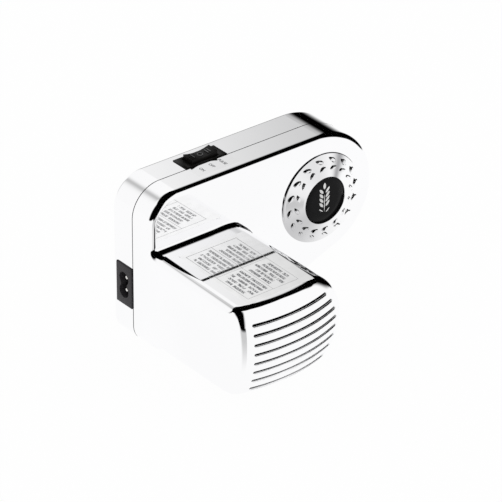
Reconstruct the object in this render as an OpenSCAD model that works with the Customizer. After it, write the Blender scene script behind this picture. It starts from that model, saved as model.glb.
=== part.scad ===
// Electric drive unit for a pasta roller machine.
// Millimetres. +X runs to the rounded end, -Y to the slotted front, +Z up.
// The origin is on the output axis, at the back face of the rear cover.

/* [Body] */
// Length of the side plate, left face to rounded end
body_len = 170.5; // [168:0.5:174]
// Height of the side plate, base to top
body_h = 106.5; // [105:0.5:110]
// Depth of the side plate, back face to front face
body_t = 37.5; // [36.5:0.5:40]
// Depth of the rear cover, back face to parting line
cover_t = 19.5; // [19:0.5:20.5]
// Radius of the rounded end, centred on the output axis
end_r = 41.5; // [41:0.5:43]
// Radius of the top left corner
corner_top_r = 20; // [16:1:22]
// Radius of the bottom left corner
corner_low_r = 13.5; // [13:0.5:16]
// Length of the flat base before it slopes up to the rounded end
base_len = 75; // [70:1:80]
// Radius of the front edge of the side plate
edge_r = 4; // [2.5:0.5:4.5]
// Wall thickness of both shells
wall = 2.2; // [1.8:0.1:2.4]

/* [Motor box] */
// Height of the box's underside above the base
box_low = 9; // [8:0.5:10]
// Height of the box's top above the base
box_top = 69.5; // [68:0.5:71]
// Distance from the back face to the crown of the slotted front
box_front = 124.5; // [122:0.5:128]
// Radius of the box's rounded right side
side_r = 37.9; // [37:0.1:39]
// Radius of the long edges of the box
box_edge_r = 3; // [2:0.5:3.5]
// Radius of the concave fillet between box and plate
root_r = 4; // [2:0.5:4.5]

/* [Cooling slots] */
// Number of slots
slot_n = 8; // [5:1:8]
// Slot height
slot_h = 2.1; // [1.6:0.1:2.6]
// Distance between slots
slot_pitch = 6.25; // [5.8:0.05:6.3]

/* [Badge] */
// Outer radius of the badge ring
badge_r = 29.7; // [26:0.1:30.5]
// Radius of the black centre disc
disc_r = 15.8; // [14:0.1:17]
// How far the badge stands out of the plate
badge_h = 4.6; // [3.8:0.1:5]
// Number of leaf pairs embossed on the badge ring
leaf_n = 16; // [10:1:18]

/* [Switch and inlet] */
// Length of the switch frame along X
switch_l = 31; // [29:0.5:32]
// Width of the switch frame along Y
switch_w = 13.2; // [12.5:0.1:13.6]
// Height of the inlet face
inlet_h = 27.6; // [26:0.2:29]

/* [Gears] */
// Module of every gear
gear_m = 1; // [1:1:1]
// Teeth of the motor pinion
pinion_z = 12; // [12:1:12]
// Teeth of the first wheel
first_z = 48; // [46:2:48]
// Teeth of the first wheel's pinion
first_pinion_z = 14; // [14:1:14]
// Teeth of the second wheel
second_z = 50; // [50:2:50]
// Teeth of the second wheel's pinion
second_pinion_z = 16; // [16:1:16]
// Teeth of the output wheel
output_z = 58; // [58:1:58]

/* [Drive end] */
// Radius of the locating collar
collar_r = 17; // [15:0.5:18]
// Length of the locating collar behind the back face
collar_l = 6; // [5:0.5:8]
// Radius of the output shaft
shaft_r = 5; // [4:0.5:5.5]
// Length of the drive end behind the back face
drive_l = 21; // [16:1:26]

/* [Hidden] */
$fn = 96;
e = 0.01;

drive_x = body_len - end_r;
drive_z = body_h - end_r;
seam = 0.2;
edge_n = 8;
lip_t = 1.2;
lip_gap = 0.15;
run_gap = 0.04;

// slope from the flat base up to the rounded end
base_dx = drive_x - base_len;
base_d = sqrt(base_dx * base_dx + drive_z * drive_z);
slope = atan2(drive_z, base_dx) - asin(end_r / base_d);

// motor box
side_x = 45;
side_z = 36;
crown_x = 35;
crown_plan_r = 108;
crown_side_r = 75;
crown_z = 39;
front_corner_r = 6;
tr_a = asin((box_top - side_z) / side_r);
br_a = asin((box_low - side_z) / side_r);
tr_x = side_x + side_r * cos(tr_a);

// badge
disc_z = badge_h - 1.8;
badge_fall = atan2(badge_h - 1.4, badge_r - disc_r - 2.7);

// cooling slots
slot_top = 56.75;
slot_left = 11.5;
slot_arc_r = 31.8;
slot_arc_z = 34.5;

// switch and inlet
switch_x = 40.5 + 31 / 2;
switch_y = -(cover_t - seam) + switch_w / 2;
switch_body_h = 17;
rocker_l = switch_l - 12;
rocker_w = switch_w - 4.2;
pivot_z = body_h - 1;
inlet_z = 38.7;
inlet_y0 = 3.8;
inlet_d = 15;
lobe_dz = 4.3;
lobe_r = 4.4;

// gear train
motor_x = 38;
motor_z = 37;
d1 = gear_m * (pinion_z + first_z) / 2;
d2 = gear_m * (first_pinion_z + second_z) / 2;
d3 = gear_m * (second_pinion_z + output_z) / 2;
a1 = 0;
first_x = motor_x + d1 * cos(a1);
first_zc = motor_z + d1 * sin(a1);
gap_x = drive_x - first_x;
gap_z = drive_z - first_zc;
gap_d = sqrt(gap_x * gap_x + gap_z * gap_z);
a2 = atan2(gap_z, gap_x) + acos((d2 * d2 + gap_d * gap_d - d3 * d3) / (2 * d2 * gap_d));
second_x = first_x + d2 * cos(a2);
second_zc = first_zc + d2 * sin(a2);
a3 = atan2(drive_z - second_zc, drive_x - second_x);

plate_y = 33;
plate_t = 2;
can_r = 24;
can_y0 = plate_y + plate_t;
can_y1 = 98;
rotor_r = 2.5;
axle_r = 2.5;

boss_r = 3.4;
boss_d = 34.5;
screw_r = 1.5;
bosses = [[12.5, 94], [10.5, 7.2], [84, 99.5],
    [drive_x + boss_d * cos(20), drive_z + boss_d * sin(20)],
    [drive_x + boss_d * cos(-50), drive_z + boss_d * sin(-50)]];

// moves body coordinates (left face x = 0, base z = 0) to the output axis
module place() {
    translate([-drive_x, 0, -drive_z]) children();
}

// extrudes an X-Z outline from depth y0 to depth y1 (both counted to the front)
module slab(y0, y1) {
    translate([0, -y0, 0]) rotate([90, 0, 0]) linear_extrude(y1 - y0) children();
}

// a round bar along Y from depth y0 to depth y1
module rod(x, z, r, y0, y1) {
    translate([x, -y0, z]) rotate([90, 0, 0]) cylinder(r = r, h = y1 - y0);
}

// rounded corners of the side plate: centre x, centre z, radius, first angle, last angle
function corners() = [
    [corner_low_r, corner_low_r, corner_low_r, 180, 270],
    [drive_x, drive_z, end_r, slope - 90, 90],
    [corner_top_r, body_h - corner_top_r, corner_top_r, 90, 180]];

// first, middle and last point of corner c, inset by s
function turn(c, s) = [for (p = [[c[2] - s, c[3]], [0, 0], [c[2] - s, c[4]]])
    [c[0] + p[0] * cos(p[1]), c[1] + p[0] * sin(p[1])]];

// side plate outline, inset by s
module plate_outline(s) {
    t = corners();
    union() {
        polygon(concat(turn(t[0], s), [[base_len - s * tan(slope / 2), s]], turn(t[1], s), turn(t[2], s)));
        for (c = t) translate([c[0], c[1]]) circle(c[2] - s);
    }
}

// side plate solid from depth y0 to y1, its front edge eased in fine steps
module plate_solid(y0, y1, r) {
    union() for (a = [0 : 90 / edge_n : 90 - 90 / edge_n])
        slab(y0, y1 - r + r * sin(a + 90 / edge_n)) plate_outline(r - r * cos(a + 45 / edge_n));
}

// motor box section in X-Z, inset by s
module box_section(s) {
    r = box_edge_r - min(s, box_edge_r - 0.5);
    c = s + r;
    union() {
        intersection() {
            translate([side_x, side_z]) circle(side_r - s);
            translate([side_x - 10, box_low + s]) square([70, box_top - box_low - 2 * s]);
        }
        translate([c, box_low + s]) square([side_x - c, box_top - box_low - 2 * s]);
        translate([s, box_low + c]) square([side_x - s, box_top - box_low - 2 * c]);
        translate([c, box_low + c]) circle(r);
        translate([c, box_top - c]) circle(r);
    }
}

// domed front, a turned body inset by s
module crown(s) {
    translate([crown_x, -(box_front - crown_plan_r), 0]) rotate_extrude() intersection() {
        translate([crown_plan_r - crown_side_r, crown_z]) circle(crown_side_r - s);
        translate([0, box_low - 5]) square([200, box_top - box_low + 10]);
    }
}

// plan view of the box with its left front corner rounded, inset by s
module plan_body(s) {
    r = front_corner_r - s;
    yc = -115.5;
    translate([0, 0, box_low - 5]) linear_extrude(box_top - box_low + 10) union() {
        translate([front_corner_r, yc]) circle(r);
        translate([s, yc]) square([120, 100]);
        translate([front_corner_r, yc - 20]) square([90, 30]);
    }
}

// motor box from depth y0 to its domed front, inset by s
module box_solid(y0, s) {
    intersection() {
        slab(y0, box_front + 5) box_section(s);
        crown(s);
        plan_body(s);
    }
}

// profile of the concave fillet: u out of the box, v out of the plate
module root_profile() {
    r = root_r;
    k = r - r * cos(30);
    polygon([[-1, -1], [-1, 1.1 * r], [-0.2 * k, 1.1 * r], [k, r / 2], [r / 2, k],
        [1.1 * r, -0.2 * k], [1.1 * r, -1]]);
}

// concave fillet between the box and the plate's front face
module root_fillet() {
    translate([box_edge_r + 0.5, -body_t, box_top]) rotate([90, 0, 90])
        linear_extrude(tr_x - box_edge_r + 0.7) rotate(90) root_profile();
    translate([side_x, -body_t, side_z]) rotate([90, 0, 0]) rotate([0, 0, br_a - 2])
        rotate_extrude(angle = tr_a - br_a + 5) translate([side_r, 0]) root_profile();
}

module slot_bar(z) {
    dz = z - slot_arc_z;
    x1 = side_x + sqrt(slot_arc_r * slot_arc_r - dz * dz);
    r = slot_h / 2;
    slab(100, 130) union() {
        translate([slot_left + r, z - r]) square([x1 - slot_left - 2 * r, slot_h]);
        translate([slot_left + r, z]) circle(r);
        translate([x1 - r, z]) circle(r);
    }
}

module front_housing() {
    color([0.80, 0.80, 0.82]) place() difference() {
        union() {
            plate_solid(cover_t + seam, body_t, edge_r);
            box_solid(body_t - 8, 0);
            root_fillet();
        }
        slab(cover_t, body_t - wall) plate_outline(wall);
        box_solid(body_t - 12, wall);
        for (i = [0 : slot_n - 1]) slot_bar(slot_top - i * slot_pitch);
    }
}

// posts inside the front housing that take the case screws
module screw_posts() {
    color([0.14, 0.14, 0.15]) place() difference() {
        for (b = bosses) rod(b[0], b[1], boss_r, cover_t + 1, body_t - wall);
        for (b = bosses) rod(b[0], b[1], screw_r - 0.1, cover_t, body_t - wall - 1.4);
    }
}

module rear_cover() {
    color([0.80, 0.80, 0.82]) place() difference() {
        union() {
            difference() {
                union() {
                    slab(0.8, cover_t - seam) plate_outline(0);
                    slab(0, cover_t - seam) plate_outline(0.8);
                }
                slab(wall, cover_t + 1) plate_outline(wall);
            }
            // lip that locates in the front housing
            difference() {
                slab(cover_t - 4, cover_t + 1.4) plate_outline(wall + lip_gap);
                slab(cover_t - 5, cover_t + 3) plate_outline(wall + lip_gap + lip_t);
                translate([switch_x - switch_l / 2 - 2, -cover_t - 5, body_h - 12])
                    cube([switch_l + 4, 12, 15]);
                translate([-1, -cover_t - 5, inlet_z - inlet_h / 2 - 2])
                    cube([12, 12, inlet_h + 4]);
                for (b = bosses) rod(b[0], b[1], boss_r + 0.3, cover_t, cover_t + 3);
            }
            difference() {
                slab(cover_t - 4, cover_t - seam) plate_outline(wall - e);
                slab(cover_t - 5, cover_t + 3) plate_outline(wall + lip_gap + lip_t);
                translate([switch_x - switch_l / 2 - 2, -cover_t - 5, body_h - 12])
                    cube([switch_l + 4, 12, 15]);
                translate([-1, -cover_t - 5, inlet_z - inlet_h / 2 - 2])
                    cube([12, 12, inlet_h + 4]);
            }
            for (b = bosses) rod(b[0], b[1], boss_r, wall - e, cover_t + 0.6);
            // seats for the axles and the output bush
            rod(first_x, first_zc, 5.5, wall - e, 9.5);
            rod(second_x, second_zc, 5.5, wall - e, 8.5);
            rod(drive_x, drive_z, 10, wall - e, 8.5);
        }
        for (b = bosses) {
            rod(b[0], b[1], screw_r + 0.2, -1, cover_t + 2);
            rod(b[0], b[1], 3.1, -1, 2.4);
        }
        rod(first_x, first_zc, axle_r, 4, 12);
        rod(second_x, second_zc, axle_r, 4, 12);
        rod(drive_x, drive_z, 8, -1, 12);
        // opening for the switch
        translate([switch_x - switch_l / 2 + 1.2, -cover_t, body_h - 6])
            cube([switch_l - 2.4, switch_w - 0.3, 8]);
        // opening for the inlet
        translate([-1, -cover_t, inlet_z - inlet_h / 2])
            cube([wall + 2, cover_t - inlet_y0, inlet_h]);
    }
}

// one leaf of the badge, pointing along +X
module leaf(l, w) {
    r = (l * l + w * w) / (4 * w);
    intersection() {
        translate([0, r - w / 2]) circle(r);
        translate([0, -r + w / 2]) circle(r);
    }
}

module on_badge(h0) {
    translate([drive_x, -body_t - h0, drive_z]) rotate([90, 0, 0]) children();
}

module badge_ring() {
    color([0.78, 0.78, 0.80]) place() on_badge(0) difference() {
        union() {
            cylinder(r = badge_r, h = 1.2);
            translate([0, 0, 1.19]) cylinder(r1 = badge_r - 0.5, r2 = disc_r + 2.2, h = badge_h - 1.4);
            rotate_extrude() translate([disc_r + 1.2, badge_h - 0.9]) circle(0.9);
            for (i = [0 : leaf_n - 1]) rotate(i * 360 / leaf_n) {
                translate([24.9, 0, badge_h - 3.0]) rotate([0, badge_fall, 0]) rotate(62)
                    linear_extrude(1.3) leaf(6.4, 2.3);
                translate([21, 0, badge_h - 1.9]) rotate([0, badge_fall, 0]) rotate(118)
                    linear_extrude(1.3) leaf(5.6, 2.1);
            }
        }
        translate([0, 0, disc_z]) cylinder(r = disc_r + 0.05, h = 5);
        translate([0, 0, -3]) cylinder(r = badge_r + 2, h = 3);
    }
}

module badge_disc() {
    color([0.04, 0.04, 0.05]) place() on_badge(disc_z) {
        cylinder(r = disc_r, h = 1);
        cylinder(r = disc_r - 0.5, h = 1.4);
    }
}

module badge_emblem() {
    color([0.92, 0.92, 0.92]) place() on_badge(disc_z + 1.4) {
        linear_extrude(0.12) {
            for (i = [0 : 3]) {
                translate([1.7, -2.5 + i * 2.9]) rotate(52) leaf(3.9, 1.5);
                translate([-1.7, -2.5 + i * 2.9]) rotate(128) leaf(3.9, 1.5);
            }
            translate([0, 9.2]) rotate(90) leaf(4.2, 1.6);
            translate([-0.3, -9.5]) square([0.6, 16.5]);
        }
    }
}

module switch_frame() {
    color([0.05, 0.05, 0.055]) place() translate([switch_x, switch_y, 0]) difference() {
        union() {
            translate([-switch_l / 2, -switch_w / 2, body_h]) cube([switch_l, switch_w, 0.6]);
            translate([-switch_l / 2 + 1.4, -switch_w / 2 + 0.2, body_h - switch_body_h])
                cube([switch_l - 2.8, switch_w - 0.9, switch_body_h + e]);
            for (x = [-9, 0, 9]) translate([x - 2.4, -1, body_h - switch_body_h - 6])
                cube([4.8, 0.8, 7]);
        }
        translate([-rocker_l / 2 - 0.8, -rocker_w / 2 - 0.4, body_h - 11])
            cube([rocker_l + 1.6, rocker_w + 0.8, 20]);
        translate([0, 0, pivot_z]) rotate([90, 0, 0])
            cylinder(r = 1.5 + run_gap, h = rocker_w + 1.8, center = true);
    }
}

// rocker, a ridged bar: both ends raised, hollow across the top
module rocker() {
    color([0.07, 0.07, 0.075]) place() translate([switch_x, switch_y, pivot_z])
        rotate([90, 0, 0]) union() {
            linear_extrude(rocker_w, center = true) difference() {
                union() {
                    intersection() {
                        translate([-rocker_l / 2, -7]) square([rocker_l, 8]);
                        circle(rocker_l / 2 + 0.6);
                    }
                    translate([-rocker_l / 2, 0]) square([rocker_l, 7]);
                }
                translate([0, 33.2]) circle(30);
            }
            cylinder(r = 1.5, h = rocker_w + 1.6, center = true);
        }
}

module rocker_marks() {
    color([0.92, 0.92, 0.90]) place() translate([switch_x, switch_y, pivot_z]) {
        translate([-5.6, 0, 3.8]) rotate([0, 10.8, 0]) linear_extrude(0.3) square([0.7, 4], center = true);
        translate([0, 0, 3.15]) linear_extrude(0.3) difference() {
            circle(1.9);
            circle(1.35);
        }
        translate([5.6, 0, 3.8]) rotate([0, -10.8, 0]) linear_extrude(0.3) {
            translate([-0.8, 0]) square([0.7, 4], center = true);
            translate([0.8, 0]) square([0.7, 4], center = true);
        }
    }
}

module switch_legend() {
    color([0.85, 0.86, 0.88, 0.5]) place()
        translate([switch_x - 15.4, -31.6, body_h]) cube([30.8, 11.4, 0.12]);
}

module rating_label() {
    color([0.90, 0.90, 0.91, 0.5]) place()
        translate([18, -107.6, box_top]) cube([36.8, 58.4, 0.12]);
}

module figure_eight(r) {
    for (s = [-1, 1]) translate([0, s * lobe_dz]) circle(r);
    translate([-r * 0.86, -lobe_dz]) square([2 * r * 0.86, 2 * lobe_dz]);
}

module inlet_body() {
    color([0.20, 0.20, 0.22]) place() difference() {
        translate([-0.9, -cover_t + seam, inlet_z - inlet_h / 2 + 0.1])
            cube([inlet_d, cover_t - inlet_y0 - 0.3, inlet_h - 0.2]);
        translate([-2, -(cover_t + inlet_y0) / 2, inlet_z]) rotate([90, 0, 90])
            linear_extrude(12.5) figure_eight(lobe_r);
        for (s = [-1, 1]) translate([8, -(cover_t + inlet_y0) / 2, inlet_z + s * lobe_dz])
            rotate([0, 90, 0]) cylinder(r = 1.2, h = 10);
    }
}

module inlet_pins() {
    color([0.80, 0.78, 0.72]) place()
        for (s = [-1, 1]) translate([0, -(cover_t + inlet_y0) / 2, inlet_z + s * lobe_dz]) {
            translate([3, 0, 0]) rotate([0, 90, 0]) cylinder(r = 1.2, h = 15.4);
            translate([3, 0, 0]) sphere(1.2);
        }
}

module slot_screen() {
    color([0.12, 0.12, 0.13]) place() difference() {
        slab(110, 110.8) difference() {
            box_section(wall + 2.5);
            for (x = [14 : 7 : 70]) for (z = [16 : 7 : 60])
                translate([x, z]) circle(1.6);
        }
        rod(motor_x, motor_z, 4, 105, 115);
    }
}

module gear_plate() {
    color([0.62, 0.63, 0.65]) place() difference() {
        slab(plate_y, plate_y + plate_t) intersection() {
            plate_outline(wall + 0.8);
            union() {
                translate([14, 14]) square([58, 52]);
                translate([60, 18]) square([50, 56]);
                translate([drive_x, drive_z]) circle(22);
                translate([second_x, second_zc]) circle(24);
            }
        }
        rod(motor_x, motor_z, 7, 20, 50);
        for (s = [-1, 1]) rod(motor_x + s * 14, motor_z, 1.7, 20, 50);
        rod(first_x, first_zc, axle_r, 20, 50);
        rod(second_x, second_zc, axle_r, 20, 50);
        rod(drive_x, drive_z, 8, 20, 50);
        for (b = bosses) rod(b[0], b[1], boss_r + 0.4, 20, 50);
    }
}

module motor_can() {
    color([0.60, 0.61, 0.63]) place() difference() {
        rod(motor_x, motor_z, can_r, can_y0, can_y1);
        rod(motor_x, motor_z, can_r - 1.5, can_y0 + 2, can_y1 + 1);
        rod(motor_x, motor_z, 5, can_y0 - 1, can_y0 + 5);
        for (s = [-1, 1]) rod(motor_x + s * 14, motor_z, 1.3, can_y0 - 1, can_y0 + 5);
    }
}

module motor_cap() {
    color([0.10, 0.10, 0.11]) place() difference() {
        union() {
            rod(motor_x, motor_z, can_r, can_y1, can_y1 + 3);
            rod(motor_x, motor_z, can_r - 1.6, can_y1 - 4, can_y1 + e);
            rod(motor_x, motor_z, 8, can_y1 + 3 - e, can_y1 + 5);
        }
        rod(motor_x, motor_z, 5, can_y1 - 6, can_y1 + 8);
        rod(motor_x, motor_z, can_r - 4, can_y1 - 6, can_y1 - 1);
        for (a = [30 : 60 : 330]) rod(motor_x + 14 * cos(a), motor_z + 14 * sin(a), 3,
            can_y1 - 6, can_y1 + 8);
    }
}

module motor_magnets() {
    color([0.16, 0.16, 0.17]) place() for (s = [-1, 1])
        translate([motor_x, 0, motor_z]) slab(can_y0 + 6, can_y1 - 10) difference() {
            circle(can_r - 1.5);
            circle(16.6);
            translate([-30, -7]) square([60, 14]);
            translate([-30, s > 0 ? -30 : 0]) square([60, 30]);
        }
}

module armature() {
    color([0.45, 0.46, 0.48]) place() difference() {
        translate([motor_x, 0, motor_z]) slab(can_y0 + 10, can_y1 - 16) difference() {
            circle(16);
            for (i = [0 : 9]) rotate(i * 36) translate([12.4, -1.1]) square([5, 2.2]);
            for (i = [0 : 9]) rotate(i * 36) translate([11, 0]) circle(2.2);
        }
        rod(motor_x, motor_z, rotor_r, 30, 120);
    }
}

module commutator() {
    color([0.72, 0.45, 0.28]) place() difference() {
        rod(motor_x, motor_z, 7, can_y1 - 14, can_y1 - 4);
        rod(motor_x, motor_z, rotor_r, 30, 120);
        for (i = [0 : 9]) translate([motor_x, 0, motor_z]) rotate([0, i * 36, 0])
            translate([6, -can_y1 + 3, -0.25]) cube([2, 12, 0.5]);
    }
}

module rotor_shaft() {
    color([0.70, 0.70, 0.72]) place() rod(motor_x, motor_z, rotor_r, 25, 108.6);
}

// toothed wheel in X-Z with a tooth centred at angle ph
module wheel_2d(z, ph) {
    rp = gear_m * z / 2;
    rr = rp - 1.15 * gear_m;
    ra = rp + 0.8 * gear_m;
    p = 360 / z;
    union() {
        circle(rr + 0.02);
        for (i = [0 : z - 1]) rotate(ph + i * p) polygon([
            [rr * cos(p * 0.29) - 0.2, -rr * sin(p * 0.29)], [rp * cos(p * 0.2), -rp * sin(p * 0.2)],
            [ra * cos(p * 0.09), -ra * sin(p * 0.09)], [ra * cos(p * 0.09), ra * sin(p * 0.09)],
            [rp * cos(p * 0.2), rp * sin(p * 0.2)], [rr * cos(p * 0.29) - 0.2, rr * sin(p * 0.29)]]);
    }
}

module wheel(x, zc, z, ph, y0, y1) {
    translate([x, 0, zc]) slab(y0, y1) wheel_2d(z, ph);
}

module motor_pinion() {
    color([0.72, 0.60, 0.30]) place() difference() {
        wheel(motor_x, motor_z, pinion_z, a1, 26, 32.2);
        rod(motor_x, motor_z, rotor_r, 20, 40);
    }
}

module first_gear() {
    color([0.85, 0.85, 0.82]) place() difference() {
        union() {
            wheel(first_x, first_zc, first_z, a1 + 180 + 180 / first_z, 26.5, 31.5);
            wheel(first_x, first_zc, first_pinion_z, a2, 19.6, 26.5 + e);
            rod(first_x, first_zc, 4.6, 10, 19.6 + e);
            rod(first_x, first_zc, 6, 31.5 - e, 32.6);
        }
        rod(first_x, first_zc, axle_r + run_gap, 5, 40);
        for (i = [0 : 5]) translate([first_x, 0, first_zc]) rotate([0, i * 60 + 15, 0])
            rod(15.5, 0, 4, 20, 40);
    }
}

module second_gear() {
    color([0.85, 0.85, 0.82]) place() difference() {
        union() {
            wheel(second_x, second_zc, second_z, a2 + 180 + 180 / second_z, 20, 25);
            wheel(second_x, second_zc, second_pinion_z, a3, 11, 20 + e);
            rod(second_x, second_zc, 5, 9, 11 + e);
            rod(second_x, second_zc, 5, 25 - e, 32.6);
        }
        rod(second_x, second_zc, axle_r + run_gap, 5, 40);
        for (i = [0 : 5]) translate([second_x, 0, second_zc]) rotate([0, i * 60 + 10, 0])
            rod(16.5, 0, 4, 19, 40);
    }
}

module gear_axles() {
    color([0.72, 0.72, 0.74]) place() {
        rod(first_x, first_zc, axle_r, 4, plate_y + plate_t);
        rod(second_x, second_zc, axle_r, 4, plate_y + plate_t);
    }
}

module output_gear() {
    color([0.85, 0.85, 0.82]) place() difference() {
        union() {
            wheel(drive_x, drive_z, output_z, a3 + 180 + 180 / output_z, 11.5, 18.5);
            rod(drive_x, drive_z, 10, 18.5 - e, 26);
        }
        rod(drive_x, drive_z, shaft_r, 5, 40);
        for (i = [0 : 5]) translate([drive_x, 0, drive_z]) rotate([0, i * 60 + 30, 0])
            rod(19, 0, 4.5, 5, 40);
    }
}

module output_shaft() {
    color([0.70, 0.70, 0.72]) place() union() {
        rod(drive_x, drive_z, shaft_r, -drive_l + 8, 34.6);
        // six-sided drive end
        translate([drive_x, drive_l - 9, drive_z]) rotate([-90, 0, 0]) {
            cylinder(r = shaft_r, h = 8, $fn = 6);
            translate([0, 0, 8]) cylinder(r1 = shaft_r * 0.8, r2 = shaft_r * 0.62, h = 1);
        }
    }
}

module output_bushes() {
    color([0.78, 0.62, 0.34]) place() for (y = [[1.5, 10.5], [29.5, 35]]) difference() {
        rod(drive_x, drive_z, 8, y[0], y[1]);
        rod(drive_x, drive_z, shaft_r + run_gap, y[0] - 1, y[1] + 1);
    }
}

module motor_bushes() {
    color([0.78, 0.62, 0.34]) place() for (y = [[can_y0 - 1, can_y0 + 4], [can_y1 - 2, can_y1 + 4]])
        difference() {
            rod(motor_x, motor_z, 5, y[0], y[1]);
            rod(motor_x, motor_z, rotor_r + run_gap, y[0] - 1, y[1] + 1);
        }
}

module cooling_fan() {
    color([0.10, 0.10, 0.11]) place() translate([motor_x, 0, motor_z]) difference() {
        union() {
            slab(103.2, 108.6) circle(5);
            for (i = [0 : 8]) translate([0, -105.9, 0]) rotate([0, i * 40, 0])
                translate([4.4, 0, 0]) rotate([38, 0, 0]) translate([0, -0.5, -2.8])
                    cube([16, 1, 5.6]);
        }
        slab(102, 110) circle(rotor_r);
    }
}

// plain collar on the back face that centres the unit on the pasta machine
module locating_collar() {
    color([0.12, 0.12, 0.13]) place() difference() {
        rod(drive_x, drive_z, collar_r, -collar_l, 0);
        rod(drive_x, drive_z, 8.6, -collar_l - 1, 1);
    }
}

module case_screws() {
    color([0.55, 0.56, 0.58]) place() for (b = bosses) difference() {
        union() {
            rod(b[0], b[1], screw_r - 0.1, 2.4 - e, body_t - wall - 2);
            rod(b[0], b[1], 2.8, 0.5, 2.4);
        }
        for (a = [0, 90]) translate([b[0], -0.4, b[1]]) rotate([0, a, 0])
            translate([-1.7, -0.9, -0.3]) cube([3.4, 1.2, 0.6]);
    }
}

module motor_screws() {
    color([0.55, 0.56, 0.58]) place() for (s = [-1, 1]) difference() {
        union() {
            rod(motor_x + s * 14, motor_z, 1.3, plate_y - e, can_y0 + 4);
            rod(motor_x + s * 14, motor_z, 2.6, plate_y - 1.2, plate_y);
        }
        translate([motor_x + s * 14, -(plate_y - 1.2), motor_z])
            translate([-1.6, -0.6, -0.3]) cube([3.2, 1.2, 0.6]);
    }
}

module suppressor_board() {
    color([0.15, 0.32, 0.20]) place() translate([24, -22.6, 68]) cube([44, 1.6, 16]);
}

module suppressor_parts() {
    color([0.72, 0.58, 0.20]) place() {
        translate([28, -21, 70.5]) cube([15, 8, 11]);
        rod(52, 76, 4, 9, 21);
        translate([59, -21, 71]) cube([6, 9, 10]);
    }
}

module wire(pts, r) {
    $fn = 12;
    for (i = [0 : len(pts) - 2]) {
        v = pts[i + 1] - pts[i];
        translate(pts[i]) rotate([0, acos(v[2] / norm(v)), atan2(v[1], v[0])])
            cylinder(r = r, h = norm(v));
        translate(pts[i + 1]) sphere(r);
    }
}

module inner_wires() {
    color([0.55, 0.10, 0.08]) place() {
        wire([[18.4, -11.6, 43], [21, -11.6, 43], [21, -11.6, 66], [30, -16, 69.5]], 0.9);
        wire([[18.4, -11.6, 34.4], [23.4, -11.6, 34.4], [23.4, -14.2, 64], [34, -17.6, 69.5]], 0.9);
        wire([[40, -16.5, 82], [47.5, -16.5, 88], [47.5, -14.6, 82.6]], 0.9);
    }
}

front_housing();
rear_cover();
screw_posts();
badge_ring();
badge_disc();
badge_emblem();
switch_frame();
rocker();
rocker_marks();
switch_legend();
inlet_body();
inlet_pins();
rating_label();
slot_screen();
gear_plate();
motor_can();
motor_cap();
motor_magnets();
armature();
commutator();
rotor_shaft();
motor_pinion();
cooling_fan();
motor_bushes();
first_gear();
second_gear();
gear_axles();
output_gear();
output_shaft();
output_bushes();
locating_collar();
case_screws();
motor_screws();
suppressor_board();
suppressor_parts();
inner_wires();
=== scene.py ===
"""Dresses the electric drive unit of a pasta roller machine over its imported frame.

Sizes are in millimetres, measured from the left face (x), the back face (y, minus towards the front)
and the base (z) of the side plate. at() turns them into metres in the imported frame.
"""

import math

import bpy
import numpy as np
from mathutils import Matrix, Vector


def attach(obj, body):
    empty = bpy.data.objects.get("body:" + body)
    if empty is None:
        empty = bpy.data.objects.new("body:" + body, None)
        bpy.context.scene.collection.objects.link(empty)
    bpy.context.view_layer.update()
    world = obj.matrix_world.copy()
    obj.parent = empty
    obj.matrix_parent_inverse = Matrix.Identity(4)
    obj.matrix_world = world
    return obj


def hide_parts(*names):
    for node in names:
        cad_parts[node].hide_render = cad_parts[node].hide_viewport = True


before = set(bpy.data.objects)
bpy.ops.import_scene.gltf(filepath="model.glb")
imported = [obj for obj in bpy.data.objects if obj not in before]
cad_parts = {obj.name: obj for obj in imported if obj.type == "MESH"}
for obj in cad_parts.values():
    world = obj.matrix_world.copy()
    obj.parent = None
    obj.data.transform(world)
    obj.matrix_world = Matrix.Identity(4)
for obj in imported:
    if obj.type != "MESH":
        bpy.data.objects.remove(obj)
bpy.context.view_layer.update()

AXIS_X, AXIS_Z = 129.0, 65.0  # output axis


def at(x, y, z):
    """A place on the unit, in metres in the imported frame."""
    return Vector(((x - AXIS_X) / 1000, y / 1000, (z - AXIS_Z) / 1000))


# ---------------------------------------------------------------- camera


def add_camera():
    turn, tilt, roll = math.radians(-38.77), math.radians(30.19), math.radians(0.307)
    back = Vector((math.sin(turn) * math.cos(tilt), -math.cos(turn) * math.cos(tilt), math.sin(tilt)))
    side = Vector((math.cos(turn), math.sin(turn), 0))
    above = back.cross(side)
    right = side * math.cos(roll) + above * math.sin(roll)
    up = above * math.cos(roll) - side * math.sin(roll)
    eye = right * 82.518 + up * 37.080 + back * 2249.0 - Vector((AXIS_X, 0, 51.5))
    lens = bpy.data.cameras.new("camera")
    lens.sensor_width = 36
    lens.lens = 36 * 3733.7 / 502
    lens.clip_end = 100
    camera = bpy.data.objects.new("camera", lens)
    bpy.context.scene.collection.objects.link(camera)
    camera.matrix_world = Matrix.Translation(eye / 1000) @ Matrix((right, up, back)).transposed().to_4x4()
    bpy.context.scene.camera = camera


add_camera()
bpy.context.scene.view_settings.view_transform = "Standard"

# ---------------------------------------------------------------- sizes

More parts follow.
